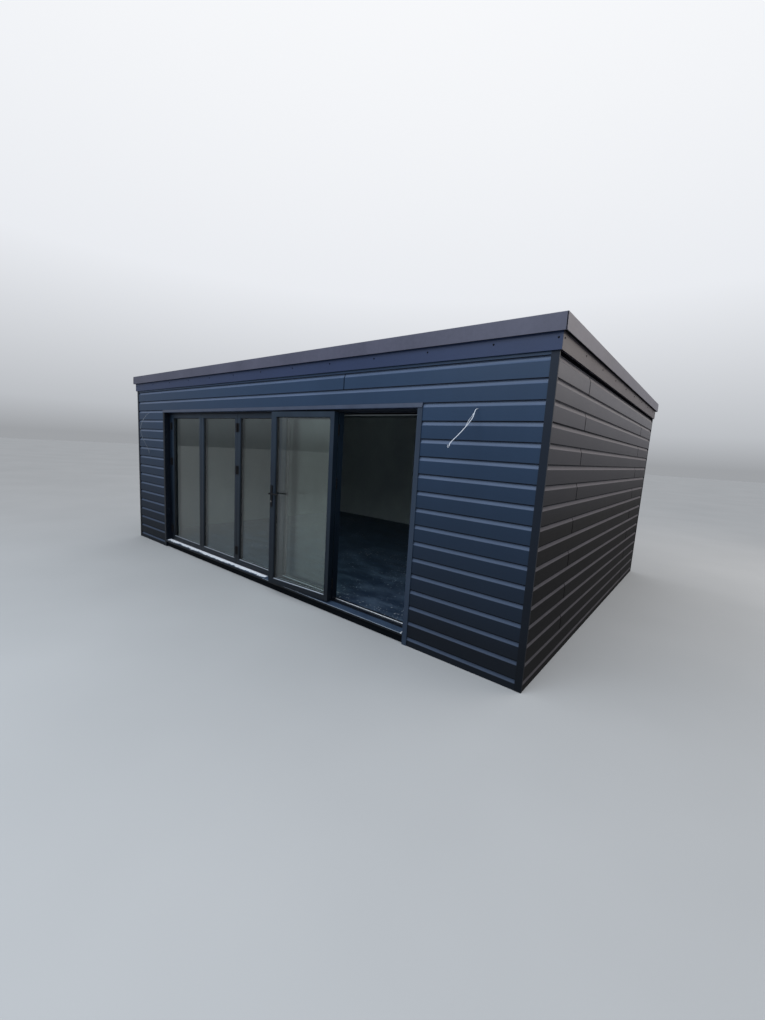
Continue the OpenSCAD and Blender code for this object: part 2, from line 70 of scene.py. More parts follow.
# Light cables
# Two short tails of stiff cable come out of the boards where wall lights will go, the left one grey,
# each a swept tube over the line of the solid cable. The right one is split: its cores bow apart
# halfway down, lie together again and end in a small open hook.
class Wire:
    """One shader socket. Maths on it adds Math nodes, and node() adds a node of any other kind."""

    def __init__(self, socket):
        self.socket = socket

    @staticmethod
    def node(tree, kind, settings=None, sockets=None, output=0):
        made = tree.nodes.new("ShaderNode" + kind)
        for setting, value in (settings or {}).items():
            if setting == "stops":
                stops = made.color_ramp.elements
                while len(stops) < len(value):
                    stops.new(0.5)
                for stop, (place, shade) in zip(stops, value):
                    stop.position = place
                    stop.color = (*shade, 1) if isinstance(shade, tuple) else (shade, shade, shade, 1)
            else:
                setattr(made, setting, value)
        for entry, value in (sockets or {}).items():
            if isinstance(value, Wire):
                tree.links.new(value.socket, made.inputs[entry])
            else:
                made.inputs[entry].default_value = value
        return Wire(made.outputs[output])

    def maths(self, operation, *values):
        return Wire.node(self.socket.id_data, "Math", {"operation": operation}, dict(enumerate(values)))

    def __add__(self, other):
        return self.maths("ADD", self, other)

    def __sub__(self, other):
        return self.maths("SUBTRACT", self, other)

    def __rsub__(self, other):
        return self.maths("SUBTRACT", other, self)

    def __mul__(self, other):
        return self.maths("MULTIPLY", self, other)

    def __truediv__(self, other):
        return self.maths("DIVIDE", self, other)

    def __rtruediv__(self, other):
        return self.maths("DIVIDE", other, self)

    def __pow__(self, other):
        return self.maths("POWER", self, other)

    def __rpow__(self, other):
        return self.maths("POWER", other, self)

    def __floor__(self):
        return self.maths("FLOOR", self)

    __radd__ = __add__
    __rmul__ = __mul__


def start_finish(name, **constants):
    """A new material, its node tree and its shader, with the shader's constant values set by name."""
    finish = bpy.data.materials.new(name)
    finish.use_nodes = True
    tree = finish.node_tree
    shader = tree.nodes["Principled BSDF"]
    for entry, value in constants.items():
        shader.inputs[entry.replace("_", " ").title().replace("Ior", "IOR")].default_value = value
    return finish, tree, shader


def cloud(tree, fineness, detail=4, roughness=0.55):
    """Smooth noise from 0 to 1, fixed to the piece, with a fineness along each of the three axes."""
    place = Wire.node(tree, "TexCoord", output="Object")
    stretched = Wire.node(tree, "Mapping", {}, {"Vector": place, "Scale": fineness})
    return Wire.node(tree, "TexNoise", {}, {"Vector": stretched, "Scale": 1.0, "Detail": detail,
                                            "Roughness": roughness}, "Fac")


def ramp(tree, factor, *stops):
    """The colour at a factor between stops, each a place and a shade."""
    return Wire.node(tree, "ValToRGB", {"stops": stops}, {"Fac": factor}, "Color")


def plug(tree, shader, **links):
    """Links what changes over a surface to the shader's sockets of those names."""
    for entry, link in links.items():
        tree.links.new(link.socket, shader.inputs[entry.replace("_", " ").title()])


def bump(tree, height, strength, distance):
    """A normal that follows a fine relief."""
    return Wire.node(tree, "Bump", {}, {"Height": height, "Strength": strength, "Distance": distance},
                     "Normal")


def make_piece(name, points, faces, finish, body, slot, smooth=None):
    """A mesh from points and faces, all facing out, that rides on a body and takes a finish."""
    mesh = bpy.data.meshes.new(name)
    mesh.from_pydata([tuple(p) for p in points], [], faces)
    shell = bmesh.new()
    shell.from_mesh(mesh)
    bmesh.ops.recalc_face_normals(shell, faces=shell.faces)
    shell.to_mesh(mesh)
    shell.free()
    mesh.materials.append(finish)
    if smooth is not None:
        mesh.polygons.foreach_set("use_smooth", [True] * len(mesh.polygons))
        mesh.set_sharp_from_angle(angle=math.radians(smooth))
    mesh.update()
    piece = bpy.data.objects.new(name, mesh)
    scene.collection.objects.link(piece)
    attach(piece, body)
    return piece


def smooth_line(stations, steps):
    """A smooth line through stations, with steps points from each to the next."""
    line = []
    for i in range(len(stations) - 1):
        a, b = stations[max(i - 1, 0)], stations[i]
        c, d = stations[i + 1], stations[min(i + 2, len(stations) - 1)]
        for k in range(steps):
            t = k / steps
            line.append(0.5 * (2 * b + (c - a) * t + (2 * a - 5 * b + 4 * c - d) * t * t
                               + (3 * b - a - 3 * c + d) * t ** 3))
    return line + [stations[-1]]


def length_of(line):
    """The length along a line of points."""
    return sum((b - a).length for a, b in zip(line, line[1:]))


def closed_skin(points, sides):
    """A closed mesh over rings of points: each is joined to the next, and the two end rings are capped."""
    faces = []
    for start in range(0, len(points) - sides, sides):
        for k in range(sides):
            a, b = start + k, start + (k + 1) % sides
            faces.append((a, b, b + sides, a + sides))
    faces.append(tuple(range(sides))[::-1])
    faces.append(tuple(range(len(points) - sides, len(points))))
    return points, faces


def sweep(line, radius, sides=12):
    """A round tube with closed ends along a line."""
    points = []
    for i, centre in enumerate(line):
        along = (line[min(i + 1, len(line) - 1)] - line[max(i - 1, 0)]).normalized()
        across = along.cross(Vector((1, 0, 0))).normalized()
        up = along.cross(across)
        points += [centre + radius * (math.cos(2 * math.pi * k / sides) * across
                                      + math.sin(2 * math.pi * k / sides) * up) for k in range(sides)]
    return closed_skin(points, sides)


def merge(parts):
    """One list of points and faces from several."""
    points, faces = [], []
    for more_points, more_faces in parts:
        start = len(points)
        points += more_points
        faces += [tuple(start + i for i in face) for face in more_faces]
    return points, faces


def jacket_finish(name, grimy, clean):
    """Matt plastic jacket, mottled between two colours."""
    finish, tree, shader = start_finish(name, roughness=0.4, specular_ior_level=0.4)
    grime = cloud(tree, (40, 40, 40))
    plug(tree, shader, base_color=ramp(tree, grime, (0.30, grimy), (0.72, clean)),
         normal=bump(tree, cloud(tree, (300, 300, 300)), 0.15, 0.0004))
    return finish


grey_jacket = jacket_finish("grey_jacket", (0.10, 0.12, 0.14), (0.20, 0.22, 0.26))
white_jacket = jacket_finish("white_jacket", (0.55, 0.58, 0.64), (0.74, 0.77, 0.83))

cable_radius = 0.003
left_stations = [Vector(p) / 1000 for p in (
    (-3028, -2485, 2148), (-3028, -2503, 2143), (-3029, -2519, 2127), (-3030, -2540, 2099),
    (-3030, -2570, 2056), (-3031, -2598, 2004), (-3031, -2616, 1948), (-3032, -2624, 1890),
    (-3032, -2622, 1832), (-3032, -2609, 1778), (-3031, -2588, 1720), (-3031, -2562, 1656),
    (-3030, -2530, 1594), (-3029, -2509, 1546), (-3028, -2500, 1492))]
right_stations = [Vector(p) / 1000 for p in (
    (2915, -2485, 2136), (2914, -2503, 2133), (2912, -2518, 2120), (2910, -2528, 2098),
    (2908, -2541, 2066), (2905, -2565, 2040), (2903, -2591, 2016), (2900, -2623, 1991),
    (2897, -2659, 1963), (2894, -2692, 1939), (2891, -2724, 1916), (2888, -2760, 1893),
    (2886, -2794, 1871), (2884, -2816, 1852), (2883, -2826, 1834))]
steps = 4
left_line = smooth_line(left_stations, steps)
right_line = smooth_line(right_stations, steps)
left_cable = make_piece("light_cable_left", *sweep(left_line, cable_radius), grey_jacket, "pod",
                        "cable_jacket", smooth=50)
right_cable = make_piece("light_cable_right", *sweep(right_line, cable_radius), white_jacket, "pod",
                         "cable_jacket", smooth=50)

core_radius = 0.0016
core_sides = 8
bow = 0.011
bow_start, bow_end = 3 * steps, 7 * steps
bow_heading = Vector((-0.75, -0.25, 0.62)).normalized()
bowed = [right_line[i] + bow_heading
         * (cable_radius + bow * math.sin(math.pi * (i - bow_start) / (bow_end - bow_start)))
         for i in range(bow_start, bow_end + 1)]
hook_radius = 0.010
hook_steps = 12
hook_start, hook_turn = 20, -24
hook_middle = right_line[-1] + hook_radius * Vector((-0.8, 0.3, -0.1))
hook = [hook_middle + hook_radius * Vector((0.8 * math.cos(t), -0.3 * math.cos(t), 0.1 + 1.1 * math.sin(t)))
        for t in (math.radians(hook_start + hook_turn * k) for k in range(hook_steps))]
core_sweeps = [sweep(line, core_radius, core_sides) for line in (bowed, hook)]
cores = make_piece("light_cable_cores", *merge(core_sweeps), white_jacket, "pod", "cable_jacket", smooth=50)
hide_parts("cable_tail_left")
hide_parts("cable_tail_right")
length_of(left_line)
length_of(right_line)

# Shiplap cladding
# Boards with a hollow along their top edge cover every wall, each fixed there under the lip of the next,
# in an anthracite foil with a fine embossed grain. Tones differ a little. The colour is painted lighter
# with height, as painted shade at the foot of a wall and painted reflection towards its head. The hollows
# hold dust and a painted highlight, the lowest few millimetres of each board a painted shadow line, and the
# right wall is painted a greyer, warmer colour as painted reflection of a warm house wall, and made duller.
board_count = 16
board_pitch = 0.150
first_lip = 0.088
hollow_share = (0.772, 0.792)
lip_shadow_share = (0.040, 0.054)
front_foil = (0.0068, 0.0156, 0.0325)
# Colour of the dust and painted highlight in the board hollows.
front_dust_and_sheen = (0.082, 0.116, 0.188)
# The right wall's colours are painted greyer and warmer as painted reflection of a warm house wall.
right_reflection_foil = (0.0135, 0.0135, 0.0165)
right_dust_and_sheen = (0.145, 0.136, 0.150)


def blend(tree, factor, first, second, mode="MIX"):
    """A mix of two colours, each a plain colour or a link."""
    first, second = ((*c, 1) if isinstance(c, tuple) else c for c in (first, second))
    return Wire.node(tree, "Mix", {"data_type": "RGBA", "blend_type": mode},
                     {0: factor, 6: first, 7: second}, 2)


def along_axis(tree, axis):
    """One of the building's own measures: 0 to the right, 1 from front to back, 2 in height."""
    return Wire.node(tree, "SeparateXYZ", {}, {"Vector": Wire.node(tree, "TexCoord", output="Object")}, axis)


def change_over(tree, value, start, stop, first, last):
    """A value carried from one range to another, held at its ends."""
    return Wire.node(tree, "MapRange", {}, {"Value": value, "From Min": start, "From Max": stop,
                                             "To Min": first, "To Max": last})


def height_ramp(tree, foot, head, start=0.2, stop=2.0):
    """A value that grows or falls with height, from the foot of a wall to its head."""
    return change_over(tree, along_axis(tree, 2), start, stop, foot, head)


def foil_finish(name, colour, dust_and_sheen, dull, gloss, painted_height_shading, boards=False):
    """Satin foil with grain, painted lighter with height. Boards: own tones, dust and painted highlight in
    hollows, painted lip shadow.
    """
    finish, tree, shader = start_finish(name, specular_ior_level=gloss)
    place = (along_axis(tree, 2) - first_lip) / board_pitch
    board = math.floor(place)
    rise = place - board
    tone = Wire.node(tree, "TexWhiteNoise", {"noise_dimensions": "1D"}, {"W": board}, "Value")
    grain = cloud(tree, (7, 7, 420), 6, 0.62)
    streak = cloud(tree, (5, 5, 0.7), 5, 0.6)
    patch = cloud(tree, (1.4, 1.4, 1.4), 3)
    # Random tones, times a painted shading by height: painted shade at the foot, painted reflection at the
    # head.
    light = (tone * 0.12 + grain * 0.16 + streak * 0.20 + patch * 0.14 + 0.70) * height_ramp(tree, *painted_height_shading)
    shade = Wire.node(tree, "VectorMath", {"operation": "SCALE"}, {0: colour, "Scale": light})
    roughness = height_ramp(tree, *dull)
    if boards:
        # The hollows face up and hold dust and a painted highlight of the sky they catch, less towards the
        # foot.
        hollow = change_over(tree, rise, *hollow_share, 0.0, 1.0)
        settled_dust_and_sheen = hollow * (streak * 0.4 + patch * 0.4 + 0.4) * height_ramp(tree, 0.55, 1.0)
        # A painted shadow line, near black, along the lowest few millimetres of each board's face under the
        # lip.
        lip = change_over(tree, rise, *lip_shadow_share, 1.0, 0.0)
        shade = blend(tree, lip, blend(tree, settled_dust_and_sheen, shade, dust_and_sheen), (0.0, 0.001, 0.003))
        roughness = lip * 0.6 + roughness
    plug(tree, shader, base_color=shade, roughness=grain * 0.10 + patch * 0.10 + streak * 0.06 + roughness,
         normal=bump(tree, grain, 0.30, 0.0006))
    return finish


def dress(finish, *names):
    """Gives solid nodes of the building a finish in place of their plain one."""
    for name in names:
        nodes[name].data.materials.clear()
        nodes[name].data.materials.append(finish)


cladding_foil = foil_finish("cladding_foil", front_foil, front_dust_and_sheen, dull=(0.55, 0.24), gloss=0.20,
                            painted_height_shading=(0.25, 2.1), boards=True)
warm_reflection_foil = foil_finish("warm_reflection_foil", right_reflection_foil, right_dust_and_sheen, dull=(0.90, 0.32, 0.6, 2.4),
                             gloss=0.17, painted_height_shading=(0.3, 5.0, 1.2, 2.4), boards=True)
dress(cladding_foil, "front_cladding_left", "front_cladding_right", "front_cladding_header", "left_cladding",
      "back_cladding")
dress(warm_reflection_foil, "right_cladding")

# Corner trims
# An angle of the same foil covers the board ends at each corner of the building and stands a little
# proud of the boards.
# Its colour is also painted lighter with height, as painted shade and painted reflection.
trim_foil = foil_finish("corner_foil", (0.006, 0.010, 0.018), front_dust_and_sheen, dull=(0.55, 0.34), gloss=0.15,
                        painted_height_shading=(0.4, 1.2))
dress(trim_foil, "corner_trims")

# Board joint covers
# Where two lengths of board meet end to end, a thin dark strip follows the board's shape over the
# joint. The joints are staggered, so every second board has one near the front of a wall.
def black_finish(name, gloss, fineness, dull, low=(0.001, 0.001, 0.002), high=(0.003, 0.003, 0.004)):
    """A dull near-black, finely speckled. The dullness gives the speckle's share and the rest."""
    finish, tree, shader = start_finish(name, specular_ior_level=gloss)
    speckle = cloud(tree, (fineness, fineness, fineness))
    plug(tree, shader, base_color=ramp(tree, speckle, (0.3, low), (0.7, high)),
         roughness=speckle * dull[0] + dull[1])
    return finish


cover_finish = black_finish("joint_cover", 0.0, 60, (0.15, 0.80))

trim_proud = 0.002
half_width = -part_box("corner_trims")[0].x - trim_proud
half_depth = -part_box("corner_trims")[0].y - trim_proud
cove_height = 0.034
cove_depth = 0.012
cove_radius = (cove_height ** 2 + cove_depth ** 2) / (2 * cove_depth)
cove_sweep = math.asin(cove_height / cove_radius)
cove_steps = 6
cover_width = 0.009
cover_proud = 0.0012
cover_sunk = 0.003


def cover_section(number):
    """Outward distance and height of a cover's outer face and of its back, sunk in the board."""
    foot = first_lip + (number - 1) * board_pitch
    top = foot + board_pitch
    outer, inner = [(cover_proud, foot)], [(-cover_sunk, foot)]
    for i in range(cove_steps + 1):
        turn = cove_sweep * (1 - i / cove_steps)
        out = cove_radius * (1 - math.cos(turn)) - cove_depth
        height = top - cove_radius * math.sin(turn)
        outer.append((out + cover_proud, height))
        inner.append((out - cover_sunk, height))
    return outer, inner


def strip(section, ends, place):
    """A straight strip of one closed section between two ends, with each point set by a place function."""
    return closed_skin([place(end, *corner) for end in ends for corner in section], len(section))


def cover(number, along, wall):
    """A cover centred at a distance along a wall, over board number."""
    outer, inner = cover_section(number)
    return strip(outer + inner[::-1], (along - cover_width / 2, along + cover_width / 2), wall)


def on_right(along, out, height):
    """A point on the right wall: its distance from the front, its distance out of the boards, its height."""
    return Vector((half_width + out, -half_depth + along, height))


def on_left(along, out, height):
    """The same on the left wall."""
    return Vector((-half_width - out, -half_depth + along, height))


def on_front(along, out, height):
    """The same on the front wall, measured along it from its left end."""
    return Vector((-half_width + along, -half_depth - out, height))


def on_back(along, out, height):
    """The same on the back wall, measured along it from its right end."""
    return Vector((half_width - along, half_depth + out, height))


even_boards = range(2, board_count + 1, 2)
odd_boards = range(1, board_count, 2)
side_near, side_far = 0.892, 3.945
long_near, long_far = 2.033, 4.937
for name, wall, joints in (
        ("joint_covers_right", on_right, [(even_boards, side_near), (odd_boards, side_far)]),
        ("joint_covers_left", on_left, [(even_boards, side_near), (odd_boards, side_far)]),
        ("joint_covers_back", on_back, [(even_boards, long_near), (odd_boards, long_far)]),
        ("joint_cover_front", on_front, [([board_count], long_far)])):
    make_piece(name, *merge([cover(number, along, wall) for boards, along in joints for number in boards]),
               cover_finish, "pod", "cladding")

# Fascia boards
# The lower step of the roof edge is a flat board in the cladding's colour, held by pins with small
# round heads near its upper edge. On the sides and the back a black strip between its foot and the first
# board lip is a painted shadow of the fascia's overhang.
fascia_foil = foil_finish("fascia_foil", (0.020, 0.032, 0.076), front_dust_and_sheen, dull=(0.27, 0.27), gloss=0.20,
                          painted_height_shading=(1.0, 1.0))
# The right fascia is painted warmer and lighter as painted reflection of a warm house wall.
warm_reflection_fascia = foil_finish("warm_reflection_fascia", (0.044, 0.036, 0.046), right_dust_and_sheen, dull=(0.32, 0.32),
                               gloss=0.22, painted_height_shading=(1.0, 1.0))
dress(fascia_foil, "front_fascia", "back_fascia", "left_fascia")
dress(warm_reflection_fascia, "right_fascia")

pin_finish = black_finish("fascia_pins", 0.05, 900, (0.2, 0.60))
pin_radius = 0.0075
pin_rise = 0.004
fascia_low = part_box("front_fascia")[0]
pin_height = fascia_low.z + 0.080
fascia_out = -half_depth - fascia_low.y


def pin(along, wall):
    """A low domed head on the face of the fascia."""
    points = []
    rings, sides = 4, 14
    for r in range(rings):
        angle = math.pi / 2 * r / rings
        for k in range(sides):
            turn = 2 * math.pi * k / sides
            points.append(wall(along + pin_radius * math.cos(angle) * math.cos(turn),
                               fascia_out + pin_rise * math.sin(angle),
                               pin_height + pin_radius * math.cos(angle) * math.sin(turn)))
    points, faces = closed_skin(points, sides)
    flat_end = faces.pop()
    faces += [(a, b, len(points)) for a, b in zip(flat_end, flat_end[1:] + flat_end[:1])]
    return points + [wall(along, fascia_out + pin_rise, pin_height)], faces


# A near black for the painted shadow strips under the fascias and for the capping sealant.
strip_finish = black_finish("black_strip", 0.0, 90, (0.1, 0.85))
top_lip = first_lip + board_count * board_pitch
strip_proud = 0.0012
strip_sunk = 0.0006
strip_gap = 0.0006
strip_ease = 0.0004


def black_strip(start, stop, wall):
    """A flat strip on the face of the boards, from just over the top lip to just under the fascia."""
    foot, head = top_lip + strip_gap, fascia_low.z - strip_gap
    section = [(-strip_sunk, foot), (strip_proud - strip_ease, foot), (strip_proud, foot + strip_ease),
               (strip_proud, head - strip_ease), (strip_proud - strip_ease, head), (-strip_sunk, head)]
    return strip(section, (start, stop), wall)


side_cover = 0.0142
back_cover = 0.0552
# These strips on the right, left and back walls are painted shadow under the fascias.
make_piece("painted_shadow_strips", *merge([black_strip(side_cover, 2 * half_depth - side_cover, on_right),
                                     black_strip(side_cover, 2 * half_depth - side_cover, on_left),
                                     black_strip(back_cover, 2 * half_width - back_cover, on_back)]),
           strip_finish, "pod", "cladding")

pin_step = 0.583
front_pins = [6.958] + [6.490 - pin_step * n for n in range(11)] + [0.024]
side_pins = [0.019 + pin_step * n for n in range(9)] + [4.951]
back_pins = [0.024 + pin_step * n for n in range(12)] + [6.946]
pin_rows = ((on_front, front_pins), (on_right, side_pins), (on_left, side_pins), (on_back, back_pins))
make_piece("fascia_pins", *merge([pin(along, wall) for wall, row in pin_rows for along in row]), pin_finish,
           "pod", "hardware", smooth=50)

# Roof capping and roof membrane
# The upper step is a bent sheet with a satin, slightly chalky grey face, mitred at the corners, with a
# line of black sealant down the front of each front corner. The flat roof behind it is one sheet of
# rubber that has small ripples where it was laid.
capping_finish, tree, shader = start_finish("capping_sheet", specular_ior_level=0.22)
streak = cloud(tree, (3, 3, 1.2), 5)
chalk = cloud(tree, (28, 28, 28), 5)
mottle = streak * 0.6 + chalk * 0.4
plug(tree, shader,
     base_color=ramp(tree, mottle, (0.32, (0.052, 0.053, 0.080)), (0.70, (0.077, 0.077, 0.112))),
     roughness=chalk * 0.15 + 0.34, normal=bump(tree, chalk, 0.08, 0.001))
dress(capping_finish, "front_capping", "back_capping", "left_capping", "right_capping")

capping_low, capping_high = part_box("front_capping")
capping_lean = 0.002
sealant_foot, sealant_head = capping_low.z + 0.001, capping_high.z - 0.005
sealant_section = [(0.0075, -0.001), (0.0075, 0.0003), (0.0071, 0.0007), (0.0019, 0.0007), (0.0015, 0.0003),
                   (0.0015, -0.001)]


def sealant_line(side):
    """A low bead that runs up the leaning front face beside one front corner."""
    def on_capping(end, across, out):
        lean, height = end
        return Vector((side * (capping_high.x - lean - across), capping_low.y + lean - out, height))

    return strip(sealant_section, ((0.0, sealant_foot), (capping_lean, sealant_head)), on_capping)


make_piece("capping_sealant", *merge([sealant_line(-1), sealant_line(1)]), strip_finish, "pod", "hardware")

membrane_finish, tree, shader = start_finish("roof_membrane", specular_ior_level=0.35)
ripple = cloud(tree, (2.2, 0.9, 1), 5)
grit = cloud(tree, (120, 120, 120), 4)
plug(tree, shader, base_color=blend(tree, ripple * 0.5, (0.016, 0.016, 0.018), (0.050, 0.050, 0.050)),
     roughness=grit * 0.2 + 0.55, normal=bump(tree, ripple + grit * 0.02, 0.6, 0.012))
dress(membrane_finish, "roof_membrane")

# Timber of the structure
# The wall panels are rough softwood, covered on every side. The base frame and the roof deck, whose
# edge shows as the soffit behind the capping, are painted almost black as painted shade under the cill
# and the capping.
timber_finish, tree, shader = start_finish("rough_timber", specular_ior_level=0.25)
fibre = cloud(tree, (6, 90, 90), 6, 0.65)
knot = cloud(tree, (3, 3, 3), 2)
sawn = ramp(tree, fibre, (0.25, (0.20, 0.13, 0.07)), (0.75, (0.42, 0.30, 0.17)))
plug(tree, shader, base_color=blend(tree, knot * 0.6, sawn, (0.16, 0.11, 0.06)),
     roughness=fibre * 0.2 + 0.65, normal=bump(tree, fibre, 0.5, 0.001))
dress(timber_finish, "front_wall_left", "front_wall_right", "front_wall_header", "left_wall", "right_wall",
      "back_wall")

# Near black timber that is painted shade under the cill and the capping.
shade_black_finish, tree, shader = start_finish("shade_black_timber", specular_ior_level=0.05)
fibre = cloud(tree, (6, 70, 70), 6, 0.65)
plug(tree, shader, base_color=ramp(tree, fibre, (0.25, (0.001, 0.002, 0.003)), (0.75, (0.004, 0.005, 0.007))),
     roughness=fibre * 0.2 + 0.7, normal=bump(tree, fibre, 0.5, 0.001))
dress(shade_black_finish, "base_frame", "roof_deck")

# Room
# The walls and ceiling are skimmed with grey plaster that still shows the sweep of the trowel, and the
# floor is dark sheet with plaster dust trodden over it. The floor is near black in a band just behind the
# door frame.
plaster_finish, tree, shader = start_finish("skim_plaster", specular_ior_level=0.2)
sweep_marks = cloud(tree, (1.6, 1.6, 0.9), 6, 0.6)
damp = cloud(tree, (0.5, 0.5, 0.5), 3)
uneven = sweep_marks * 0.5 + damp * 0.5
plug(tree, shader, base_color=ramp(tree, uneven, (0.34, (0.25, 0.27, 0.28)), (0.66, (0.36, 0.385, 0.385))),
     roughness=sweep_marks * 0.2 + 0.7, normal=bump(tree, sweep_marks, 0.3, 0.004))
dress(plaster_finish, "room_lining")

floor_finish, tree, shader = start_finish("dusty_floor", specular_ior_level=0.4)
smear = cloud(tree, (2.6, 5.0, 1), 6, 0.7)
fleck = cloud(tree, (34, 34, 34), 3, 0.5)
spread = cloud(tree, (1.1, 1.1, 1), 2)
flecks = change_over(tree, fleck + spread * 0.35, 0.84, 0.90, 0.0, 0.75)
trodden = change_over(tree, smear, 0.42, 0.74, 0.0, 0.55)
dark_band = change_over(tree, along_axis(tree, 1), -2.285, -2.270, 1.0, 0.0)
sheet = blend(tree, trodden, (0.017, 0.032, 0.060), (0.13, 0.19, 0.27))
dusty_sheet = blend(tree, flecks, sheet, (0.42, 0.46, 0.52))
plug(tree, shader, base_color=blend(tree, dark_band, dusty_sheet, (0.003, 0.005, 0.008)),
     roughness=smear * 0.3 + 0.35, normal=bump(tree, smear + flecks * 0.4, 0.3, 0.002))
dress(floor_finish, "floor_deck")

# Door trims
# Folded coated sheet covers the board ends beside the doorway and lines the reveal. The head trim slopes
# to shed water and catches more light than the boards. The left one is painted darkest, as painted shade
# of the shaded side of the reveal.
def sheet_finish(name, dark, light, gloss):
    """Satin coated sheet with faint vertical streaks between two colours."""
    finish, tree, shader = start_finish(name, specular_ior_level=gloss)
    speckle = cloud(tree, (700, 700, 700), 2)
    streak = cloud(tree, (6, 6, 1.5), 5)
    plug(tree, shader, base_color=ramp(tree, streak, (0.30, dark), (0.72, light)),
         roughness=speckle * 0.1 + streak * 0.1 + 0.28, normal=bump(tree, speckle, 0.1, 0.0003))
    return finish


dress(sheet_finish("head_sheet", (0.014, 0.024, 0.052), (0.024, 0.038, 0.074), 0.35), "door_trim_head")
dress(sheet_finish("right_sheet", (0.012, 0.022, 0.042), (0.020, 0.034, 0.058), 0.30), "door_trim_right")
# The left trim's colour is painted shade for the shaded side of the reveal.
dress(sheet_finish("left_sheet_painted_shade", (0.002, 0.004, 0.008), (0.004, 0.007, 0.013), 0.15), "door_trim_left")

# Door frame and leaves
# The frame, the threshold and the five leaves are powder coated aluminium with a fine texture, and the cill
# is the same. The coat is painted lighter with height as painted shade and reflection. The frame, threshold
# and cill are painted darker than the leaves as painted shade, the cill's sloping top is painted paler as a
# painted highlight, and the leaves hold a little dust with a painted highlight on what faces up.
def facing_up(tree, start, full):
    """How far a surface faces up, from 0 where its normal's rise is start to 1 where it is full."""
    rise = Wire.node(tree, "SeparateXYZ", {}, {"Vector": Wire.node(tree, "NewGeometry", output="Normal")}, 2)
    return change_over(tree, rise, start, full, 0.0, 1.0)


def coat_finish(name, dark, light, dust_and_sheen, dust_and_sheen_share):
    """Powder coat between two colours, painted lighter with height, with dust and painted highlight on what
    faces up.
    """
    finish, tree, shader = start_finish(name, specular_ior_level=0.22)
    orange_peel = cloud(tree, (900, 900, 900), 2)
    wipe = cloud(tree, (4, 4, 2), 5)
    upward_dust_and_sheen = facing_up(tree, 0.55, 0.95) * (wipe * 0.6 + 0.4) * dust_and_sheen_share
    # The coat's colour grows lighter with height: painted shade low, painted reflection high.
    coat = Wire.node(tree, "VectorMath", {"operation": "SCALE"},
                     {0: ramp(tree, wipe, (0.3, dark), (0.7, light)), "Scale": height_ramp(tree, 0.45, 1.5)})
    plug(tree, shader, base_color=blend(tree, upward_dust_and_sheen, coat, dust_and_sheen),
         roughness=orange_peel * 0.12 + wipe * 0.10 + 0.30, normal=bump(tree, orange_peel, 0.12, 0.0003))
    return finish


leaf_coat = coat_finish("leaf_coat", (0.006, 0.0115, 0.020), (0.010, 0.018, 0.029), (0.20, 0.24, 0.30), 0.22)
dress(leaf_coat, "folding_leaf_1", "folding_leaf_2", "folding_leaf_3", "folding_leaf_4", "lead_leaf")
# The frame's coat is painted darker than the leaves' as painted shade.
frame_coat = coat_finish("frame_coat", (0.002, 0.004, 0.009), (0.004, 0.008, 0.015), (0.03, 0.04, 0.06), 0.3)
dress(frame_coat, "door_frame_head", "door_frame_jambs", "door_threshold")
# The cill is painted near black as painted shade on its nose, and paler on what faces up as a painted
# highlight.
cill_coat = coat_finish("cill_coat", (0.002, 0.004, 0.008), (0.004, 0.007, 0.012), (0.050, 0.080, 0.135), 1.0)
dress(cill_coat, "door_cill")

# Painted shade over the lining head
# A flat black strip lies against the front of the lining over the doorway, behind the frame, as painted
# shade on the lining's face, and leaves only the lining's thin lower edge showing.
# A near black that is painted shade on the lining's face.
shade_strip_finish = black_finish("painted_shade_strip", 0.0, 300, (0.1, 0.8))


def flat_strip(low, high, ease):
    """A flat strip between two corners with its front long edges eased."""
    front, back = low.y, high.y
    section = [(back, low.z), (front + ease, low.z), (front, low.z + ease), (front, high.z - ease),
               (front + ease, high.z), (back, high.z)]
    return strip(section, (low.x, high.x), lambda *corner: Vector(corner))


head_low, head_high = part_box("door_frame_head")
lining_foot = 2.109
lining_shown = 0.004
shade_strip_margin = 0.003
shade_strip_ease = 0.0003
shade_strip_low = Vector((head_low.x + shade_strip_margin, head_high.y - 0.0012, lining_foot + lining_shown))
shade_strip_high = Vector((head_high.x - shade_strip_margin, head_high.y - 0.0002, head_low.z - 0.0005))
make_piece("painted_shade_head_strip", *flat_strip(shade_strip_low, shade_strip_high, shade_strip_ease), shade_strip_finish, "pod", "hardware")

# Panes
# Each pane is a sealed unit: clear glass on both faces with a dark spacer round the edge inside it.
# The last leaf's pane is made where the leaf is shut and swung open with it about the hinge line.
hinge = frame["joints"][0]
hinge_line = Vector(hinge["pos_m"])
open_turn = math.radians(-hinge["range_deg"][1])
swing = Matrix.Translation(hinge_line) @ Matrix.Rotation(open_turn, 4, "Z") @ Matrix.Translation(-hinge_line)
stile = 0.060
lock_stile = 0.080
leaf_boxes = [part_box(f"folding_leaf_{n}") for n in (1, 2, 3, 4)]
leaf_step = leaf_boxes[1][0] - leaf_boxes[0][0]
shut_low = leaf_boxes[3][0] + leaf_step
shut_high = leaf_boxes[3][1] + leaf_step + Vector((lock_stile - stile, 0, 0))
fixed_leaves = [(low, high, stile) for low, high in leaf_boxes]
lead_leaf = (shut_low, shut_high, lock_stile)
glass_held = 0.011
glass_inset = 0.020
glass_depth = 0.022
sheet_depth = 0.004
spacer_hidden = 0.009
spacer_shown = 0.005

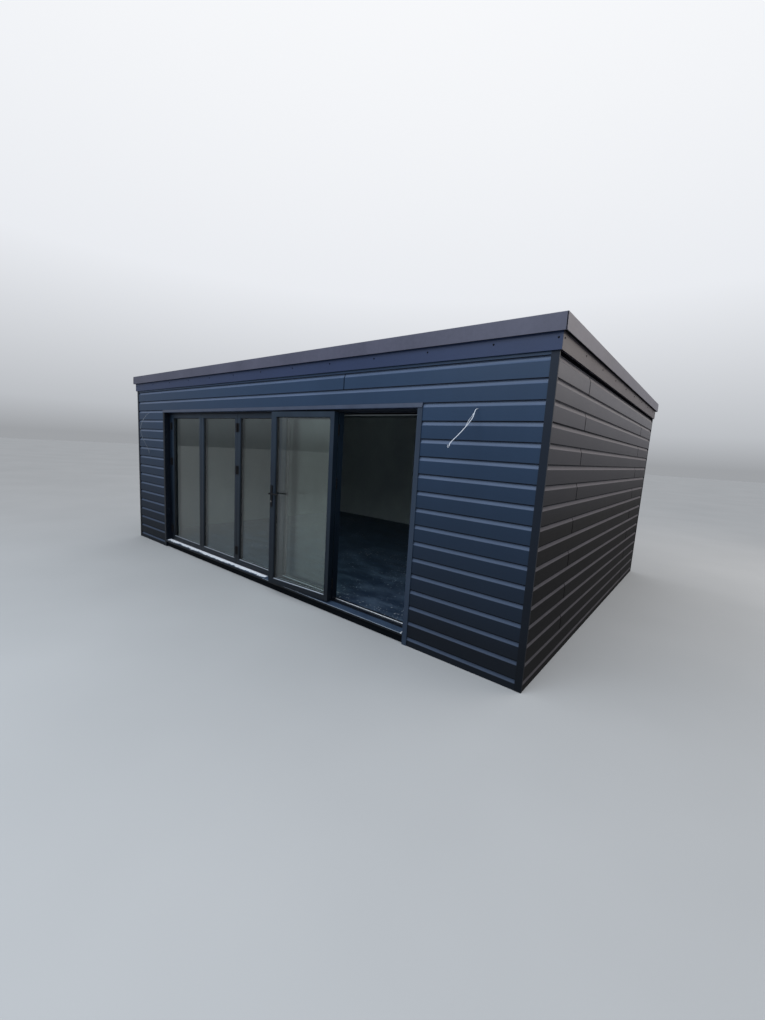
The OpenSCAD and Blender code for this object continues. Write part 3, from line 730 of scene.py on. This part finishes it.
glass_finish = bpy.data.materials.new("clear_glass")
glass_finish.use_nodes = True
tree = glass_finish.node_tree
tree.nodes.remove(tree.nodes["Principled BSDF"])
mirror = Wire.node(tree, "BsdfGlossy", {}, {"Color": (0.96, 0.98, 0.97, 1), "Roughness": 0.0}, 0)
through = Wire.node(tree, "BsdfTransparent", {}, {"Color": (0.90, 0.945, 0.925, 1)}, 0)
slant = Wire.node(tree, "LayerWeight", {}, {"Blend": 0.5}, "Facing")
gloss = slant ** 5.0 * 0.93 + 0.07
pane_shader = Wire.node(tree, "MixShader", {}, {0: gloss, 1: through, 2: mirror}, 0)
tree.links.new(pane_shader.socket, tree.nodes["Material Output"].inputs["Surface"])

spacer_finish = black_finish("spacer_bar", 0.4, 400, (0.1, 0.4), (0.006, 0.007, 0.009), (0.014, 0.016, 0.019))


def opening(leaf, inward, back):
    """The four corners of a leaf's opening, set in past the sight line, at a depth behind the leaf's face."""
    low, high, free_stile = leaf
    left, right = low.x + stile + inward, high.x - free_stile - inward
    foot, head = low.z + stile + inward, high.z - stile - inward
    return [Vector((x, low.y + back, z))
            for x, z in ((left, foot), (right, foot), (right, head), (left, head))]


def ring(leaf, section):
    """A mitred ring round a leaf's opening. The section gives distance in past the sight line and depth."""
    points = [corner for inward, back in section for corner in opening(leaf, inward, back)]
    faces = []
    count = len(section)
    for i in range(count):
        for k in range(4):
            a, b = i * 4 + k, i * 4 + (k + 1) % 4
            c, d = (i + 1) % count * 4 + (k + 1) % 4, (i + 1) % count * 4 + k
            faces.append((a, b, c, d))
    return points, faces


def pane(leaf):
    """The sealed unit of one leaf, with its edges eased."""
    ease = 0.0015
    edge = ((0, ease), (ease, 0), (glass_depth - ease, 0), (glass_depth, ease))
    return closed_skin([corner for back, pull in edge
                        for corner in opening(leaf, pull - glass_held, glass_inset + back)], 4)


def spacer(leaf):
    """The dark bar between the two sheets of glass, which shows past the sight line."""
    front, back = glass_inset + sheet_depth, glass_inset + glass_depth - sheet_depth
    return ring(leaf, [(-spacer_hidden, front), (spacer_shown, front), (spacer_shown, back),
                       (-spacer_hidden, back)])


def swung(part):
    """A part of the last leaf, turned from shut to where the leaf stands open."""
    return [swing @ p for p in part[0]], part[1]


folding_panes = make_piece("folding_panes", *merge([pane(leaf) for leaf in fixed_leaves]), glass_finish,
                           "pod", "glazing")
lead_pane = make_piece("lead_pane", *swung(pane(lead_leaf)), glass_finish, "lead_door", "glazing")
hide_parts("folding_glass")
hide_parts("lead_glass")
make_piece("folding_spacers", *merge([spacer(leaf) for leaf in fixed_leaves]), spacer_finish, "pod",
           "hardware")
make_piece("lead_spacer", *swung(spacer(lead_leaf)), spacer_finish, "lead_door", "hardware")

# Glazing gaskets
# A black rubber bead is pressed between the leaf and the glass on both faces, mitred at the corners.
# It shows as a thin rounded lip round each pane.
gasket_finish = black_finish("gasket_rubber", 0.3, 500, (0.1, 0.55), (0.004, 0.004, 0.005),
                             (0.010, 0.010, 0.011))
lip_radius = 0.0045
lip_foot = 0.0015
lip_rise = 0.004
lip_back = 0.001
lip_steps = 5


def gasket(leaf):
    """Outer and inner gasket rings of one leaf."""
    made = []
    for face, away in ((glass_inset, -1), (glass_inset + glass_depth, 1)):
        lip = [(-lip_back, 0), (-lip_back, lip_foot + lip_rise)]
        lip += [(lip_radius * math.sin(t), lip_foot + lip_rise * math.cos(t))
                for t in (math.pi / 2 * k / lip_steps for k in range(lip_steps + 1))]
        lip += [(lip_radius, 0)]
        made.append(ring(leaf, [(inward, face + away * rise) for inward, rise in lip]))
    return merge(made)


make_piece("folding_gaskets", *merge([gasket(leaf) for leaf in fixed_leaves]), gasket_finish, "pod",
           "hardware")
make_piece("lead_gaskets", *swung(gasket(lead_leaf)), gasket_finish, "lead_door", "hardware")

# Sill beads
# Along the foot of each opening a strip of drawn aluminium lies on the rail in front of the gasket, and
# carries rain off the glass. Its pale blue-grey colour is a painted highlight of the sky along the rail.
def drawn_finish(name, lines, dark, light, dull, **constants):
    """Drawn aluminium with fine lines along it, between two tones."""
    finish, tree, shader = start_finish(name, **constants)
    drawn = cloud(tree, lines, 4)
    plug(tree, shader, base_color=ramp(tree, drawn, (0.3, dark), (0.7, light)), roughness=drawn * 0.2 + dull)
    return finish


# The pale colour is a painted highlight of the sky along the rail.
bead_highlight_finish = drawn_finish("bead_strip_highlight", (8, 300, 300), (0.32, 0.37, 0.44), (0.50, 0.55, 0.63), 0.25,
                           specular_ior_level=0.5)
bead_fold = 0.002
bead_end_gap = 0.002
bead_depths = ((0.0058, 0.0140), (0.0592, 0.0480))


def sill_bead(leaf, front, back):
    """A thin strip with a folded front edge on the bottom rail, between two depths."""
    low, high, free_stile = leaf
    ends = (low.x + stile + bead_end_gap, high.x - free_stile - bead_end_gap)
    fold = math.copysign(bead_fold, back - front)
    section = [(front, -0.0015), (front, 0.0016), (front + fold, 0.0022), (back, 0.0022), (back, 0.0002)]
    return strip(section, ends, lambda x, depth, rise: Vector((x, low.y + depth, low.z + stile + rise)))


def sill_beads(leaf):
    """The bead on each face of one leaf."""
    return merge([sill_bead(leaf, front, back) for front, back in bead_depths])


make_piece("folding_beads", *merge([sill_beads(leaf) for leaf in fixed_leaves]), bead_highlight_finish, "pod",
           "hardware")
make_piece("lead_beads", *swung(sill_beads(lead_leaf)), bead_highlight_finish, "lead_door", "hardware")

# Hinges and handles
# Hinge barrels and their plates, the long levers and the handle plates are cast metal with a black coat.
# A short lock barrel of bright turned metal stands out of each handle plate, under the lever.
hardware_finish, tree, shader = start_finish("black_hardware", specular_ior_level=0.12)
speckle = cloud(tree, (800, 800, 800), 2)
plug(tree, shader, base_color=ramp(tree, speckle, (0.3, (0.003, 0.003, 0.004)), (0.7, (0.007, 0.007, 0.008))),
     roughness=speckle * 0.15 + 0.35, normal=bump(tree, speckle, 0.1, 0.0002))
dress(hardware_finish, "fixed_hinges", "lead_hinges", "lead_handles")

lock_finish, tree, shader = start_finish("lock_barrel", metallic=1.0)
turned = cloud(tree, (900, 900, 900), 3)
plug(tree, shader, base_color=ramp(tree, turned, (0.3, (0.26, 0.26, 0.26)), (0.7, (0.36, 0.36, 0.35))),
     roughness=turned * 0.15 + 0.22)


def lock_barrel(centre, outward):
    """A short turned barrel with a raised rim and a sunk face."""
    points = []
    sides = 24
    profile = ((0.0082, 0.0), (0.0082, 0.0022), (0.0074, 0.0030), (0.0060, 0.0030), (0.0056, 0.0024),
               (0.0006, 0.0024))
    for radius, rise in profile:
        points += [centre + Vector((radius * math.cos(2 * math.pi * k / sides), outward * rise,
                                    radius * math.sin(2 * math.pi * k / sides))) for k in range(sides)]
    return closed_skin(points, sides)


lever_height = 1.200
lock_drop = 0.092
handle_in = 0.031
boss_reach = 0.012
lock_x = shut_high.x - handle_in
lock_z = lever_height - lock_drop
locks = [lock_barrel(Vector((lock_x, shut_low.y - boss_reach, lock_z)), -1),
         lock_barrel(Vector((lock_x, shut_high.y + boss_reach, lock_z)), 1)]
make_piece("lock_barrels", *swung(merge(locks)), lock_finish, "lead_door", "hardware", smooth=40)

# Threshold track and cill nose
# The upstand at the back of the threshold is capped with a bright aluminium strip. Right of the film a thin
# pale strip along the cill's nose is a painted highlight of its edge, and a small folded clip of bare metal
# closes its right end.
track_finish = drawn_finish("track_strip", (8, 300, 300), (0.62, 0.65, 0.70), (0.80, 0.83, 0.87), 0.28,
                            metallic=0.3)
track_low, track_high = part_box("door_threshold")
upstand = 0.004
track_section = [(-0.0005, -0.006), (-0.0005, 0.0), (0.0005, 0.0010), (0.0035, 0.0010), (0.0045, 0.0),
                 (0.0045, -0.006), (0.0040, -0.006), (0.0040, -0.0002), (0.0, -0.0002), (0.0, -0.006)]


def on_upstand(along, back, rise):
    """A point at the top of the upstand, from its front face back and from its top up."""
    return Vector((along, track_high.y - upstand + back, track_high.z + rise))


make_piece("track_strip", *strip(track_section, (track_low.x, track_high.x), on_upstand), track_finish, "pod",
           "door_frame")

# A pale drawn finish that is a painted highlight along the cill's nose.
nose_highlight_finish = drawn_finish("painted_nose_highlight", (9, 200, 200), (0.22, 0.27, 0.34), (0.36, 0.42, 0.50), 0.35,
                           specular_ior_level=0.35)
cill_low, cill_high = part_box("door_cill")
cill_fall = 0.007
cill_slope = cill_fall / (cill_high.y - cill_low.y)
nose_lift = cill_high.z - cill_fall
film_end = 0.185
edge_proud = 0.0012
edge_height = 0.0045
edge_ease = 0.0004
edge_low = Vector((film_end, cill_low.y - edge_proud, nose_lift - edge_height))
edge_high = Vector((cill_high.x - 0.003, cill_low.y - 0.0001, nose_lift - 0.0002))
make_piece("painted_nose_highlight", *flat_strip(edge_low, edge_high, edge_ease), nose_highlight_finish, "pod", "door_frame")
clip_section = [(-0.0022, -0.006), (-0.0022, 0.0012), (0.050, 0.0012), (0.050, 0.0002), (-0.0013, 0.0002),
                (-0.0013, -0.006)]
clip_ends = (cill_high.x - 0.022, cill_high.x - 0.010)


def on_cill(along, back, rise):
    """A point over the cill: level in front of its nose, and along its slope behind it."""
    return Vector((along, cill_low.y + back, nose_lift + max(back, 0) * cill_slope + rise))


make_piece("cill_clip", *strip(clip_section, clip_ends, on_cill), track_finish, "pod", "door_frame")

# Protective film
# A strip of white film is still stuck along the cill in front of the shut leaves, torn along its front
# edge, with a shorter scrap near the nose further right.
film_finish, tree, shader = start_finish("white_film", specular_ior_level=0.4)
crease = cloud(tree, (30, 90, 90), 5)
plug(tree, shader, base_color=ramp(tree, crease, (0.30, (0.54, 0.57, 0.63)), (0.62, (0.78, 0.81, 0.86))),
     roughness=crease * 0.3 + 0.35, normal=bump(tree, crease, 0.5, 0.002))
film_rise = 0.0012
film_thickness = 0.0006
film_step = 0.014


def film(start, stop, seed, rear, front, tear):
    """A thin wrinkled sheet on the cill's slope, with a straight rear edge and a torn front edge."""
    source = random.Random(seed)
    stations = max(12, int((stop - start) / film_step))
    width = 4
    upper = []
    ragged = 0.0
    for i in range(stations + 1):
        x = start + (stop - start) * i / stations
        ragged = 0.6 * ragged + 0.4 * source.uniform(-1, 1)
        torn = max(0.002, front + tear * (ragged + 0.4 * source.uniform(-1, 1)))
        for j in range(width):
            depth = rear + (torn - rear) * j / (width - 1)
            wrinkle = 0.0006 * math.sin(x * 140 + j) + 0.0008 * source.random()
            upper.append(on_cill(x, depth, film_rise + wrinkle))
    shift = len(upper)
    points = upper + [point - Vector((0, 0, film_thickness)) for point in upper]
    faces = []
    for i in range(stations):
        for j in range(width - 1):
            a = i * width + j
            faces.append((a, a + 1, a + width + 1, a + width))
            faces.append((a + shift, a + width + shift, a + width + 1 + shift, a + 1 + shift))
        for j in (0, width - 1):
            a = i * width + j
            quad = (a, a + width, a + width + shift, a + shift)
            faces.append(quad if j == 0 else quad[::-1])
    for i in (0, stations):
        for j in range(width - 1):
            a = i * width + j
            quad = (a, a + shift, a + 1 + shift, a + 1)
            faces.append(quad if i == 0 else quad[::-1])
    return points, faces


long_film = film(-2.46, film_end, 4, 0.080, 0.020, 0.024)
film_scrap = film(0.60, 0.865, 9, 0.020, 0.004, 0.004)
make_piece("cill_film", *merge([long_film, film_scrap]), film_finish, "pod", "cable_jacket", smooth=60)

# Studio
# A wide pale floor and a pale backdrop that the glass and the foil mirror, cooler before the doors,
# warmer at the right and dimmer low at the left. The light comes mostly from overhead: a soft sky, a
# wide soft box high in front of the doors and a warm one at the right.
floor_paint, tree, shader = start_finish("studio_floor", specular_ior_level=0.1)
tone = cloud(tree, (0.4, 0.4, 0.4), 3)
plug(tree, shader, base_color=ramp(tree, tone, (0.3, (0.36, 0.37, 0.38)), (0.7, (0.39, 0.40, 0.41))),
     roughness=tone * 0.1 + 0.85)
floor_reach = 90
floor_level = -0.001
floor_corners = [(x * floor_reach, y * floor_reach, floor_level)
                 for x, y in ((-1, -1), (1, -1), (1, 1), (-1, 1))]
floor_mesh = bpy.data.meshes.new("studio_floor")
floor_mesh.from_pydata(floor_corners, [], [(0, 1, 2, 3)])
floor_mesh.materials.append(floor_paint)
studio_floor = bpy.data.objects.new("studio_floor", floor_mesh)
scene.collection.objects.link(studio_floor)

world = bpy.data.worlds.new("studio_sky")
scene.world = world
world.use_nodes = True
tree = world.node_tree
heading = Wire.node(tree, "TexCoord", output="Generated")
sideways, forwards, height = (Wire.node(tree, "SeparateXYZ", {}, {"Vector": heading}, axis)
                              for axis in range(3))
seen, mirrored, seen_through = (Wire.node(tree, "LightPath", output=kind)
                                for kind in ("Is Camera Ray", "Is Glossy Ray", "Is Transmission Ray"))
backdrop = ramp(tree, height, (0.0, (0.34, 0.353, 0.372)), (0.06, (0.50, 0.52, 0.55)),
                (0.32, (0.82, 0.84, 0.88)), (0.75, (0.95, 0.96, 0.98)))
above = change_over(tree, height, 0.0, 0.14, 0.0, 1.0)
cool_side = change_over(tree, forwards, -0.20, -0.85, 0.0, 0.9) * above
warm_side = change_over(tree, sideways, 0.06, 0.36, 0.0, 0.9) * above
left_side = change_over(tree, sideways, -0.50, -0.98, 0.0, 1.0)
before_doors = change_over(tree, forwards, 0.10, -0.50, 0.0, 1.0)
dim_side = left_side * before_doors * change_over(tree, height, 0.60, 0.0, 0.0, 1.0)
backdrop = blend(tree, warm_side, backdrop, (0.98, 0.93, 0.90))
backdrop = blend(tree, cool_side, backdrop, (0.82, 0.91, 1.0))
backdrop = blend(tree, dim_side, backdrop, (0.50, 0.52, 0.54), "MULTIPLY")
sky_light = ramp(tree, height, (0.0, (0.16, 0.18, 0.20)), (0.35, (0.52, 0.55, 0.60)), (1.0, (1.0, 1.0, 1.0)))
sky_light = Wire.node(tree, "VectorMath", {"operation": "SCALE"}, {0: sky_light, "Scale": 1.25})
sky = blend(tree, seen + mirrored + seen_through, sky_light, backdrop)
tree.links.new(sky.socket, tree.nodes["Background"].inputs["Color"])
tree.nodes["Background"].inputs["Strength"].default_value = 1.0


def soft_box(name, place, target, width, depth, power, colour):
    """A flat rectangular lamp at a place, turned to a target."""
    lamp = bpy.data.lights.new(name, "AREA")
    lamp.shape = "RECTANGLE"
    lamp.size, lamp.size_y = width, depth
    lamp.energy = power
    lamp.color = colour
    box = bpy.data.objects.new(name, lamp)
    box.location = place
    box.rotation_euler = (Vector(target) - Vector(place)).to_track_quat("-Z", "Y").to_euler()
    scene.collection.objects.link(box)


soft_box("soft_box_front", (1.6, -8.4, 6.4), (1.2, -2.5, 1.3), 8, 5.5, 430, (0.80, 0.90, 1.0))
soft_box("soft_box_right", (8.5, 4.0, 5.5), (3.4, 0.5, 1.2), 6, 4, 170, (1.0, 0.90, 0.80))

scene.view_settings.view_transform = "Standard"
